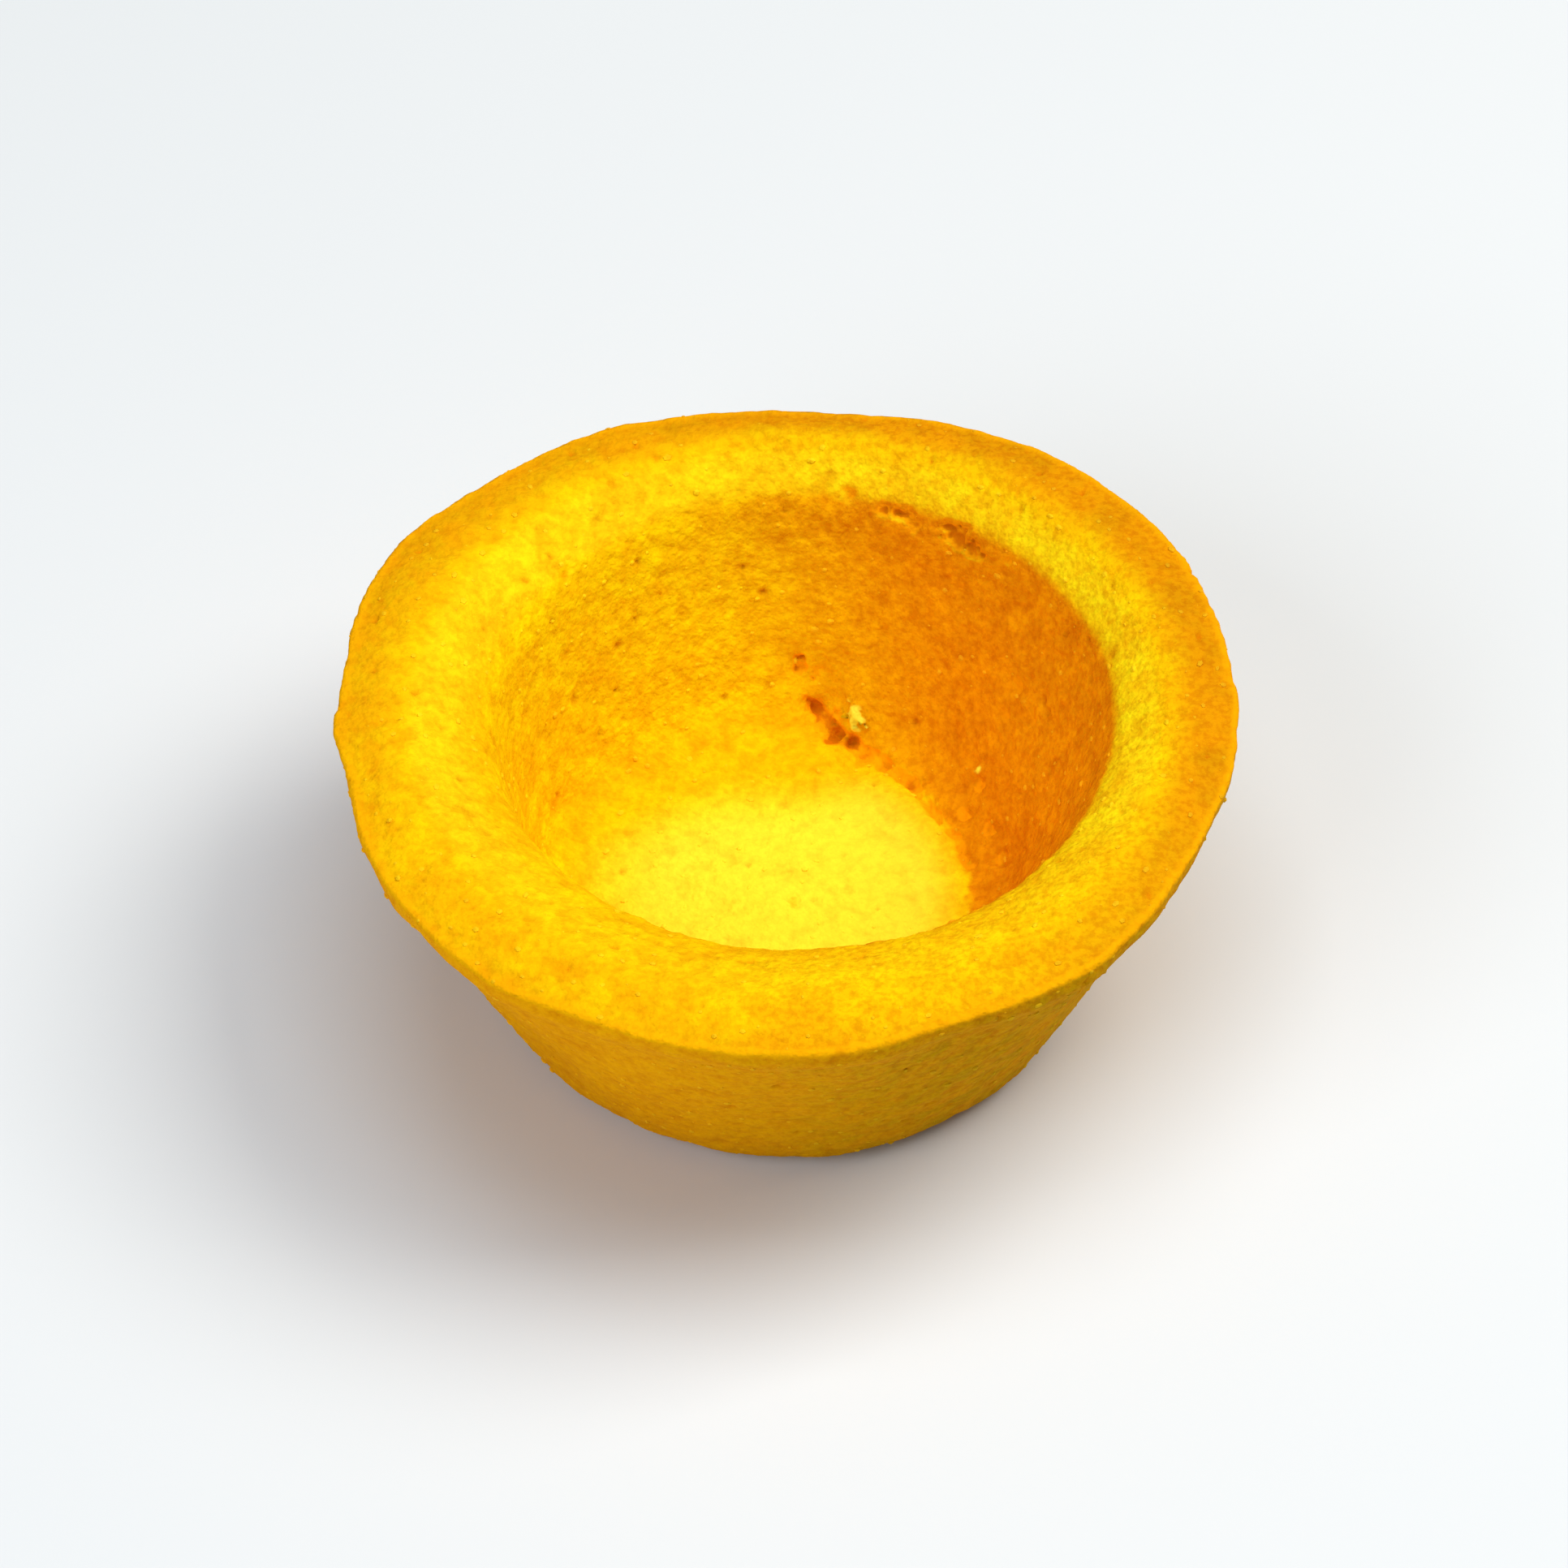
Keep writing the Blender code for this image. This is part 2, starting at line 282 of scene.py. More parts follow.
class Graph:
    """Adds nodes to one node tree. An input is given a value, or another node's output to link."""

    def __init__(self, tree):
        self.tree = tree

    def node(self, kind, inputs=None, **settings):
        node = self.tree.nodes.new(kind)
        for name, value in settings.items():
            setattr(node, name, value)
        for key, value in (inputs or {}).items():
            if isinstance(value, bpy.types.NodeSocket):
                self.tree.links.new(value, node.inputs[key])
            else:
                node.inputs[key].default_value = value
        return node

    def math(self, operation, first, second=0.0):
        return self.node("ShaderNodeMath", {0: first, 1: second}, operation=operation).outputs[0]

    def add(self, first, second):
        return self.math("ADD", first, second)

    def subtract(self, first, second):
        return self.math("SUBTRACT", first, second)

    def multiply(self, first, *others):
        for other in others:
            first = self.math("MULTIPLY", first, other)
        return first

    def ramp(self, value, start, end, low=0.0, high=1.0):
        """Go smoothly from low at start to high at end."""
        inputs = {"Value": value, "From Min": start, "From Max": end, "To Min": low, "To Max": high}
        return self.node("ShaderNodeMapRange", inputs, interpolation_type="SMOOTHSTEP").outputs["Result"]

    def fall(self, value, start, end):
        """Go smoothly from 1 at start to 0 at end."""
        return self.ramp(value, start, end, 1.0, 0.0)

    def between(self, share, none, full):
        """Go smoothly from one value where a share is 0 to another where it is 1."""
        return self.ramp(share, 0.0, 1.0, none, full)

    def noise(self, place, size, detail, roughness, shift):
        """Noise from 0 to 1 whose swells are about one size across; shift picks another part of it."""
        moved = self.node("ShaderNodeVectorMath", {0: place, 1: shift}, operation="ADD").outputs["Vector"]
        inputs = {"Vector": moved, "Scale": 1.0 / size, "Detail": detail, "Roughness": roughness}
        node = self.node("ShaderNodeTexNoise", inputs)
        return node.outputs["Fac" if "Fac" in node.outputs else "Factor"]

    def warped(self, place, size, reach):
        """A place pushed about by up to reach, so that patterns on it lose their even shapes."""
        swells = self.node("ShaderNodeTexNoise", {"Vector": place, "Scale": 1.0 / size}).outputs["Color"]
        inputs = {0: swells, 1: (0.5, 0.5, 0.5)}
        centred = self.node("ShaderNodeVectorMath", inputs, operation="SUBTRACT").outputs[0]
        push = self.node("ShaderNodeVectorMath", {0: centred, 3: 2.0 * reach}, operation="SCALE").outputs[0]
        return self.node("ShaderNodeVectorMath", {0: place, 1: push}, operation="ADD").outputs[0]

    def cells(self, place, size, shift=UNSHIFTED):
        """Distance to the middle of the nearest cell, in cells, and one random number for each cell."""
        moved = self.node("ShaderNodeVectorMath", {0: place, 1: shift}, operation="ADD").outputs["Vector"]
        node = self.node("ShaderNodeTexVoronoi", {"Vector": moved, "Scale": 1.0 / size})
        chance = self.node("ShaderNodeSeparateXYZ", {0: node.outputs["Color"]}).outputs[0]
        return node.outputs["Distance"], chance

    def mix(self, share, first, second):
        """One colour going over to another."""
        node = self.node("ShaderNodeMix", data_type="RGBA")
        for socket, value in zip((node.inputs[0], node.inputs[6], node.inputs[7]), (share, first, second)):
            if isinstance(value, bpy.types.NodeSocket):
                self.tree.links.new(value, socket)
            else:
                socket.default_value = value
        return node.outputs[2]

    def tinted(self, color, tint):
        """A colour as it looks through an even tint."""
        inputs = {0: color, 1: tint[:3]}
        return self.node("ShaderNodeVectorMath", inputs, operation="MULTIPLY").outputs["Vector"]


class Regions:
    """Where on the case a point is, as numbers from 0 to 1 made by a graph."""

    def __init__(self, graph, place, facing):
        axes = graph.node("ShaderNodeSeparateXYZ", {0: place}).outputs
        self.graph = graph
        self.place = place
        self.upward = graph.ramp(facing, *UPWARD)
        self.x = graph.subtract(axes[0], BASE_MIDDLE.x)
        self.y = graph.subtract(axes[1], BASE_MIDDLE.y)
        self.z = axes[2]
        squares = graph.add(graph.multiply(self.x, self.x), graph.multiply(self.y, self.y))
        self.radius = graph.math("SQRT", squares)

    def outside(self):
        """1 on the outer wall, the base and the lip's side, 0 in the cavity and on the rim."""
        graph = self.graph
        rise = graph.multiply(graph.subtract(self.z, FLOOR_HEIGHT), CAVITY_FLARE)
        past_wall = graph.subtract(self.radius, graph.add(rise, CAVITY_FOOT_RADIUS))
        sideways = graph.subtract(1.0, self.upward)
        beside = graph.multiply(graph.ramp(past_wall, *PAST_CAVITY_WALL), sideways)
        return graph.math("MAXIMUM", beside, graph.fall(self.z, *BASE_EDGE))

    def rim(self):
        """1 on the whole top of the rim, 0 below it."""
        return self.graph.multiply(self.graph.ramp(self.z, *RIM_TOP), self.upward)

    def crest_highlight(self):
        """1 on the ring where the rim is highest, and less of it at the front; a painted highlight on a
        paler crust.
        """
        graph = self.graph
        inner = graph.ramp(self.radius, *CREST_INSIDE)
        outer = graph.fall(self.radius, *CREST_OUTSIDE)
        back = graph.ramp(self.y, *CREST_BACKWARDS, CREST_FRONT_SHARE, 1.0)
        return graph.multiply(inner, outer, self.upward, back)

    def lip(self):
        """1 on the rim's outer band, up to its edge."""
        return self.graph.multiply(self.graph.ramp(self.radius, *LIP_BAND), self.upward)

    def lip_edge(self):
        """1 on the lip's outermost edge."""
        return self.graph.multiply(self.graph.ramp(self.radius, *LIP_EDGE), self.lip())

    def from_pale_middle(self):
        """Distance sideways from the palest place of the floor."""
        graph = self.graph
        along = graph.subtract(self.x, PALE_MIDDLE.x)
        across = graph.subtract(self.y, PALE_MIDDLE.y)
        return graph.math("SQRT", graph.add(graph.multiply(along, along), graph.multiply(across, across)))

    def back_left(self):
        """1 at the back of the floor and to the left of its middle."""
        graph = self.graph
        return graph.multiply(graph.ramp(self.y, *FLOOR_BACKWARDS), graph.fall(self.x, *FLOOR_RIGHTWARDS))

    def floor_back_shade(self):
        """Painted shade: 1 on the floor's back left, between its pale middle and the wall."""
        graph = self.graph
        beyond_middle = graph.ramp(self.from_pale_middle(), *FLOOR_EDGE)
        return graph.multiply(beyond_middle, graph.fall(self.z, *FLOOR_FOOT), self.back_left())

    def pale_lit_floor(self):
        """Paler crust with a painted pool of light: 1 on the middle of the floor, fading out slowly at the
        left and fast at the right.
        """
        graph = self.graph
        inside = graph.subtract(1.0, self.outside())
        shrink = graph.multiply(self.back_left(), PALE_SHRINK)
        start = graph.subtract(graph.ramp(self.x, *PALE_RIGHTWARDS, *PALE_STARTS), shrink)
        end = graph.subtract(PALE_END, shrink)
        return graph.multiply(graph.fall(self.from_pale_middle(), start, end), inside)

    def shaded_side(self):
        """Painted shade: 0 on the left of the cavity and on its floor, 1 on the wall at the right, with a
        sharp foot.
        """
        graph = self.graph
        wander = graph.subtract(graph.noise(self.place, *WANDER_PATTERN), 0.5)
        start = graph.ramp(self.y, *SHADED_BACKWARDS, *SHADED_STARTS)
        start = graph.add(start, graph.multiply(wander, SHADED_WANDER))
        softness = graph.ramp(self.x, *FLOOR_RIGHTWARDS, *SHADED_SOFTNESS)
        beyond_floor = graph.ramp(self.from_pale_middle(), start, graph.add(start, softness))
        lean = graph.multiply(graph.subtract(self.z, SHADED_LEAN_HEIGHT), SHADED_LEAN)
        return graph.multiply(graph.ramp(graph.add(self.x, lean), *SHADED_RIGHTWARDS), beyond_floor)

    def right_side(self):
        """0 at the left front, 1 at the right."""
        radius = self.graph.math("MAXIMUM", self.radius, LEAST_RADIUS)
        return self.graph.ramp(self.graph.math("DIVIDE", self.x, radius), *RIGHTWARDS)

    def share_of(self, direction):
        """Share of a level direction in the way out from the middle: 1 along it, -1 against it."""
        graph = self.graph
        along = graph.add(graph.multiply(self.x, direction.x), graph.multiply(self.y, direction.y))
        return graph.math("DIVIDE", along, self.radius)

    def browned_side(self):
        """0 at the front, 1 at the back and the right, and less at the back left."""
        browned = self.graph.ramp(self.share_of(BROWNED_DIRECTION), *BROWNED_TURN)
        spared = self.graph.ramp(self.share_of(SPARED_DIRECTION), *SPARED_TURN, 1.0, SPARED_SHARE)
        return self.graph.multiply(browned, spared)

    def underside(self):
        """1 on the flat base."""
        return self.graph.fall(self.z, *BASE_FLAT)


def plain_mesh_object(name, mesh):
    """A new object at the origin in the scene's collection."""
    piece = bpy.data.objects.new(name, mesh)
    bpy.context.scene.collection.objects.link(piece)
    return piece


def made_plain(piece):
    """Turn a piece's modifiers into its mesh."""
    bpy.context.view_layer.update()
    evaluated = piece.evaluated_get(bpy.context.evaluated_depsgraph_get())
    result = bpy.data.meshes.new_from_object(evaluated)
    piece.modifiers.clear()
    old = piece.data
    piece.data = result
    bpy.data.meshes.remove(old)
    return piece


def merged_node_mesh(node):
    """A copy of a frame node's mesh with its loose triangles joined."""
    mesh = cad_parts[node].data.copy()
    shell = bmesh.new()
    shell.from_mesh(mesh)
    bmesh.ops.remove_doubles(shell, verts=shell.verts, dist=MERGE_DISTANCE)
    shell.to_mesh(mesh)
    shell.free()
    mesh.materials.clear()
    return mesh


def smooth_shell(settings):
    """The case's solid as an even fine mesh with its facets smoothed away."""
    shell = plain_mesh_object("tart_crust", merged_node_mesh(NODE))
    subdivision = shell.modifiers.new("soften facets", "SUBSURF")
    subdivision.levels = FACET_LEVELS
    subdivision.render_levels = FACET_LEVELS
    remesh = shell.modifiers.new("even mesh", "REMESH")
    remesh.mode = "VOXEL"
    remesh.voxel_size = settings.detail
    smooth = shell.modifiers.new("smooth", "SMOOTH")
    smooth.factor = SMOOTHING_FACTOR
    smooth.iterations = settings.smoothing
    return made_plain(shell)


def thinned(piece, most):
    """Collapse the flattest places until the piece has at most so many triangles."""
    count = sum(len(polygon.vertices) - 2 for polygon in piece.data.polygons)
    if count > most:
        piece.modifiers.new("thin out", "DECIMATE").ratio = most / count
        made_plain(piece)


def hills(distances, reach):
    """Smooth hills: 1 in the middle, 0 from reach on."""
    shares = np.clip(distances / reach, 0.0, 1.0)
    return (1.0 - shares * shares) ** 2


def on_surface(piece, place):
    """The point of the piece's surface nearest to a place."""
    return np.array(piece.closest_point_on_mesh(place)[1])


def raggedness(places):
    """Rough noise from -1 to 1 at each place."""
    return np.array([noise.noise(Vector(place) / MARK_RAGGEDNESS) for place in places])


def press_marks(piece):
    """Press the crease and the single dents in, raise the single crumbs, and note the painted shade or
    highlight of each.
    """
    mesh = piece.data
    count = len(mesh.vertices)
    places = np.empty(count * 3)
    mesh.vertices.foreach_get("co", places)
    places = places.reshape(count, 3)
    normals = np.empty(count * 3)
    mesh.vertex_normals.foreach_get("vector", normals)
    normals = normals.reshape(count, 3)
    height = np.zeros(count)
    shade = np.zeros(count)
    for mark in MARKS:
        away = np.linalg.norm(places - on_surface(piece, mark.place), axis=1)
        near = np.flatnonzero(away < MARK_GREATEST * mark.reach)
        ragged = 1.0 + MARK_RAGGED_SHARE * raggedness(places[near])
        hill = hills(away[near] * ragged, mark.reach)
        height[near] += mark.height * hill
        shade[near] += mark.shade * hill
    depth = crease_depths(piece, places)
    near = np.flatnonzero(depth > 0.0)
    breaks = CREASE_EVENNESS + CREASE_BREAKS * raggedness(places[near])
    depth[near] *= np.clip(breaks, 0.0, CREASE_GREATEST)
    # Painted shade along the crease, deepest where it is deepest
    shade += depth / max(CREASE_DEPTHS) * CREASE_SHADE
    places += normals * (height - depth)[:, None]
    mesh.vertices.foreach_set("co", places.ravel())
    mesh.attributes.new("shade", "FLOAT", "POINT").data.foreach_set("value", shade)
    mesh.update()


def crease_depths(piece, places):
    """How deep the crease is at each point."""
    knots = [on_surface(piece, knot) for knot in CREASE_PATH]
    depths = np.zeros(len(places))
    for index in range(len(knots) - 1):
        start, end = knots[index], knots[index + 1]
        way = end - start
        shares = np.clip((places - start) @ way / (way @ way), 0.0, 1.0)
        away = np.linalg.norm(places - (start + shares[:, None] * way), axis=1)
        width = CREASE_WIDTHS[index] + shares * (CREASE_WIDTHS[index + 1] - CREASE_WIDTHS[index])
        depth = CREASE_DEPTHS[index] + shares * (CREASE_DEPTHS[index + 1] - CREASE_DEPTHS[index])
        depths = np.maximum(depths, depth * hills(away, width))
    return depths


def new_geometry_tree(name, lengths=(), numbers=(), whole_numbers=()):
    """A geometry tree with a geometry input and output, and named inputs."""
    tree = bpy.data.node_groups.new(name, "GeometryNodeTree")
    tree.interface.new_socket("Geometry", in_out="INPUT", socket_type="NodeSocketGeometry")
    for label in lengths:
        socket = tree.interface.new_socket(label, in_out="INPUT", socket_type="NodeSocketFloat")
        socket.subtype = "DISTANCE"
    for label in numbers:
        tree.interface.new_socket(label, in_out="INPUT", socket_type="NodeSocketFloat")
    for label in whole_numbers:
        tree.interface.new_socket(label, in_out="INPUT", socket_type="NodeSocketInt")
    tree.interface.new_socket("Geometry", in_out="OUTPUT", socket_type="NodeSocketGeometry")
    return tree


def add_geometry_modifier(piece, tree, values):
    """Give the piece the tree as a modifier, with its inputs set by their identifiers."""
    modifier = piece.modifiers.new(tree.name, "NODES")
    modifier.node_group = tree
    for item in tree.interface.items_tree:
        if item.in_out == "INPUT" and item.name in values:
            modifier[item.identifier] = values[item.name]


def divided(graph, place, size):
    """A place counted in sizes, so that a size from an input can set a pattern's scale."""
    scale = graph.math("DIVIDE", 1.0, size)
    return graph.node("ShaderNodeVectorMath", {0: place, 3: scale}, operation="SCALE").outputs["Vector"]


def lip_corner(graph, regions, facing):
    """1 where the lip's upper corner turns through 45 degrees, 0 on the flats to either side."""
    outwards = graph.add(graph.multiply(facing[0], regions.x), graph.multiply(facing[1], regions.y))
    outwards = graph.math("DIVIDE", outwards, regions.radius)
    halfway = graph.multiply(outwards, facing[2], 2.0)
    beside = graph.ramp(regions.radius, *CORNER_RADII)
    at_lip = graph.multiply(beside, graph.ramp(regions.z, *CORNER_HEIGHTS))
    return graph.multiply(graph.ramp(halfway, *CORNER_TURN), at_lip)


def crumb_relief(graph, regions, crumb_place):
    """The crumb's own ups and downs, from about -1 to 1, calmer on the rim's right."""
    crumb = graph.multiply(graph.subtract(graph.noise(crumb_place, *CRUMB_PATTERN), 0.5), 2.0)
    gap, chance = graph.cells(crumb_place, 1.0, CRUMB_GRAIN_SHIFT)
    grain = graph.multiply(graph.subtract(CRUMB_GRAIN_REACH, gap), graph.add(chance, CRUMB_GRAIN_LEAST))
    calm = graph.multiply(regions.rim(), regions.right_side(), RIGHT_RIM_CALM)
    return graph.multiply(graph.add(crumb, grain), graph.subtract(1.0, calm))


def pores(graph, place, given):
    """1 in the middle of each pore, 0 outside them."""
    ragged = graph.warped(place, PORE_WARP_SIZE, PORE_WARP_REACH)
    gap, chance = graph.cells(divided(graph, ragged, given["Pore spacing"]), 1.0)
    chosen = graph.math("LESS_THAN", chance, given["Pore share"])
    return graph.multiply(graph.fall(gap, *PORE_REACH), chosen)


def crumb_tree(material):
    """Geometry nodes that raise the crumb, press the pores and roughen the lip."""
    tree = new_geometry_tree(
        "pastry crumb",
        lengths=(
            "Crumb size", "Crumb height", "Lump size", "Lump height", "Pore spacing", "Pore depth",
            "Lip fray", "Lip sharpness",
        ),
        numbers=("Pore share",),
    )
    graph = Graph(tree)
    given = graph.node("NodeGroupInput").outputs
    place = graph.node("GeometryNodeInputPosition").outputs[0]
    normal = graph.node("GeometryNodeInputNormal").outputs[0]
    facing = graph.node("ShaderNodeSeparateXYZ", {0: normal}).outputs
    regions = Regions(graph, place, facing[2])
    crumb_place = divided(graph, place, given["Crumb size"])

    relief = crumb_relief(graph, regions, crumb_place)
    rough = graph.between(regions.outside(), 1.0, OUTSIDE_ROUGHNESS)
    lumps = graph.noise(divided(graph, place, given["Lump size"]), *LUMP_PATTERN)
    lumps = graph.multiply(graph.subtract(lumps, 0.5), 2.0)
    height = graph.multiply(relief, given["Crumb height"], rough)
    height = graph.add(height, graph.multiply(lumps, given["Lump height"]))
    near_edge = graph.ramp(regions.radius, *CALMER_EDGE)
    height = graph.multiply(height, graph.between(near_edge, 1.0, LIP_EDGE_ROUGHNESS))

    fray = graph.subtract(graph.noise(crumb_place, *FRAY_PATTERN), 0.5)
    edge = graph.multiply(graph.ramp(regions.radius, *FRAYED_EDGE), graph.ramp(regions.z, *FRAYED_HEIGHTS))
    height = graph.add(height, graph.multiply(fray, given["Lip fray"], edge))
    pore = pores(graph, place, given)
    height = graph.subtract(height, graph.multiply(pore, given["Pore depth"]))

    settled = graph.math("MINIMUM", graph.subtract(height, given["Crumb height"]), 0.0)
    underside = regions.underside()
    height = graph.multiply(height, graph.subtract(1.0, underside))
    height = graph.add(height, graph.multiply(settled, underside))
    corner = lip_corner(graph, regions, facing)
    height = graph.add(height, graph.multiply(corner, given["Lip sharpness"]))
    offset = graph.node("ShaderNodeVectorMath", {0: normal, 3: height}, operation="SCALE").outputs["Vector"]

    marked = given["Geometry"]
    for label, value in (("pore", pore), ("relief", relief), ("facing", facing[2]), ("corner", corner)):
        inputs = {"Geometry": marked, "Name": label, "Value": value}
        note = graph.node("GeometryNodeStoreNamedAttribute", inputs, data_type="FLOAT", domain="POINT")
        marked = note.outputs[0]
    moved = graph.node("GeometryNodeSetPosition", {"Geometry": marked, "Offset": offset}).outputs[0]
    smooth = graph.node("GeometryNodeSetShadeSmooth", {0: moved}).outputs[0]
    real = graph.node("GeometryNodeRealizeInstances", {0: smooth}).outputs[0]
    painted = graph.node("GeometryNodeSetMaterial", {"Geometry": real, "Material": material}).outputs[0]
    graph.node("NodeGroupOutput", {"Geometry": painted})
    return tree


def grain_tree(material):
    """Geometry nodes that sow small loose-edged grains over a surface, half sunk in it."""
    tree = new_geometry_tree(
        "pastry grains",
        lengths=("Grain size", "Spacing"),
        numbers=("Thickest per square metre",),
        whole_numbers=("Seed",),
    )
    graph = Graph(tree)
    given = graph.node("NodeGroupInput").outputs
    inputs = {
        "Mesh": given["Geometry"],
        "Distance Min": given["Spacing"],
        "Density Max": given["Thickest per square metre"],
        "Seed": given["Seed"],
    }
    sown = graph.node("GeometryNodeDistributePointsOnFaces", inputs, distribute_method="POISSON").outputs
    place = graph.node("GeometryNodeInputPosition").outputs[0]
    height = graph.node("ShaderNodeSeparateXYZ", {0: place}).outputs[2]
    grounded = graph.math("LESS_THAN", height, GRAINS_ABOVE)
    kept = graph.node(
        "GeometryNodeDeleteGeometry", {"Geometry": sown["Points"], "Selection": grounded}, domain="POINT"
    ).outputs[0]
    ball = graph.node("GeometryNodeMeshIcoSphere", {"Radius": 1.0, "Subdivisions": 1}).outputs["Mesh"]
    spread = graph.node(
        "FunctionNodeRandomValue", {2: SMALLEST_GRAIN, 3: 1.0, "Seed": given["Seed"]}, data_type="FLOAT"
    ).outputs[1]
    size = graph.multiply(spread, spread, given["Grain size"])
    shape = graph.node(
        "FunctionNodeRandomValue", {0: SLIMMEST_GRAIN, 1: FULLEST_GRAIN, "Seed": given["Seed"]},
        data_type="FLOAT_VECTOR",
    ).outputs[0]
    scale = graph.node("ShaderNodeVectorMath", {0: shape, 3: size}, operation="SCALE").outputs["Vector"]
    placed = graph.node(
        "GeometryNodeInstanceOnPoints",
        {"Points": kept, "Instance": ball, "Rotation": sown["Rotation"], "Scale": scale},
    ).outputs[0]
    real = graph.node("GeometryNodeRealizeInstances", {0: placed}).outputs[0]
    painted = graph.node("GeometryNodeSetMaterial", {"Geometry": real, "Material": material}).outputs[0]
    graph.node("NodeGroupOutput", {"Geometry": painted})
    return tree


def new_material(name):
    """A material with an empty node tree."""
    material = bpy.data.materials.new(name)
    material.use_nodes = True
    material.node_tree.nodes.clear()
    return material, Graph(material.node_tree)


def finish_material(graph, color, roughness, specular, bump=None):
    """Principled shader and output; colour and bump may come from nodes, the rest is even."""
    inputs = {"Base Color": color, "Roughness": roughness, "Specular IOR Level": specular}
    if bump is not None:
        inputs["Normal"] = bump
    shader = graph.node("ShaderNodeBsdfPrincipled", inputs).outputs[0]
    graph.node("ShaderNodeOutputMaterial", {"Surface": shader})


def attribute(graph, name):
    """A number that the crust's mesh holds for each of its points."""
    return graph.node("ShaderNodeAttribute", attribute_name=name).outputs["Fac"]


def color_by_place(graph, regions, floor, shaded, settings):
    """Pale on the floor, yellow on the rim's inner slope, browner on the lip at the back right, with
    painted light and shade.
    """
    # Painted shade on the cavity's right wall
    wall = graph.mix(shaded, settings.wall_color, settings.shade_color)
    # Painted shade, deeper at the foot of the cavity's right wall
    low = graph.multiply(shaded, graph.ramp(regions.z, *WALL_FOOT, settings.foot_shading, 0.0))
    wall = graph.mix(low, wall, settings.pit_shade_color)
    # Paler crust with a painted pool of light on the floor
    color = graph.mix(floor, wall, settings.pale_and_lit_color)
    # Painted shade on the floor's back left, near the foot of the wall
    back = graph.multiply(regions.floor_back_shade(), graph.subtract(1.0, shaded), settings.floor_back_shading)
    color = graph.mix(back, color, settings.brown_and_shade_color)
    color = graph.mix(regions.rim(), color, settings.slope_color)
    # Painted highlight on the crest's ring, over a paler crust
    color = graph.mix(graph.multiply(regions.crest_highlight(), settings.crest_paleness_and_highlight), color, settings.crest_highlight_color)
    # Painted shade on the outer wall's right
    side = graph.mix(regions.right_side(), settings.outside_and_shade_color, settings.outside_shaded_color)
    color = graph.mix(regions.outside(), color, side)
    lip = graph.mix(regions.browned_side(), settings.lip_color, settings.lip_dark_color)
    color = graph.mix(regions.lip(), color, lip)
    edge = graph.multiply(regions.lip_edge(), settings.edge_browning)
    return graph.mix(edge, color, settings.lip_dark_color)


def pastry_color(graph, place, settings):
    """The colour by place with its painted light and shade, mottled all over with brown patches, blotches
    and fine specks.
    """
    regions = Regions(graph, place, attribute(graph, "facing"))
    floor = regions.pale_lit_floor()
    shaded = regions.shaded_side()
    color = color_by_place(graph, regions, floor, shaded, settings)

    even = graph.between(floor, 1.0, FLOOR_MOTTLING)
    patches = graph.ramp(graph.noise(place, *PATCH_PATTERN), *PATCH_LEVELS)
    patches = graph.multiply(patches, graph.between(regions.lip(), INSIDE_PATCHINESS, 1.0), even)
    color = graph.mix(graph.multiply(patches, settings.patchiness), color, settings.brown_and_shade_color)
    blotches = graph.ramp(graph.noise(place, *BLOTCH_PATTERN), *BLOTCH_LEVELS)
    blotches = graph.multiply(blotches, even, settings.blotchiness)
    beyond_wall = graph.math("MAXIMUM", regions.rim(), regions.outside())
    # On the right wall in painted shade the blotches go over to the pits' shade colour
    shaded_wall = graph.multiply(shaded, graph.subtract(1.0, beyond_wall))
    color = graph.mix(blotches, color, graph.mix(shaded_wall, settings.brown_and_shade_color, settings.pit_shade_color))
    specks = graph.fall(graph.noise(place, *SPECKLE_PATTERN), *SPECKLE_LEVELS)
    specks = graph.multiply(specks, graph.between(floor, 1.0, FLOOR_SPECKLING), settings.speckling)
    specks = graph.multiply(specks, graph.between(shaded, LIT_SIDE_SPECKLING, 1.0))
    return graph.mix(specks, color, graph.tinted(color, settings.speck_and_shade_tint))


def marked_color(graph, place, color, settings):
    """The colour with the painted shade of the marks: orange shade in dents, dark shade in deep ones, and
    pale crumbs, partly a painted highlight.
    """
    shade = attribute(graph, "shade")
    uneven = graph.subtract(graph.noise(place, *SHADE_PATTERN), 0.5)
    uneven = graph.multiply(uneven, SHADE_UNEVENNESS)
    present = graph.ramp(graph.math("ABSOLUTE", shade), *SHADE_BREAK_LEVELS)
    shade = graph.add(shade, graph.multiply(uneven, present))
    dent = graph.ramp(shade, *DENT_LEVELS, 0.0, DENT_SHADING)
    color = graph.mix(dent, color, settings.shade_color)
    deep = graph.ramp(shade, *DEEP_DENT_LEVELS, 0.0, DEEP_DENT_SHADING)
    color = graph.mix(deep, color, settings.pit_shade_color)
    return graph.mix(graph.fall(shade, *PALE_CRUMB_LEVELS), color, settings.crumb_color)


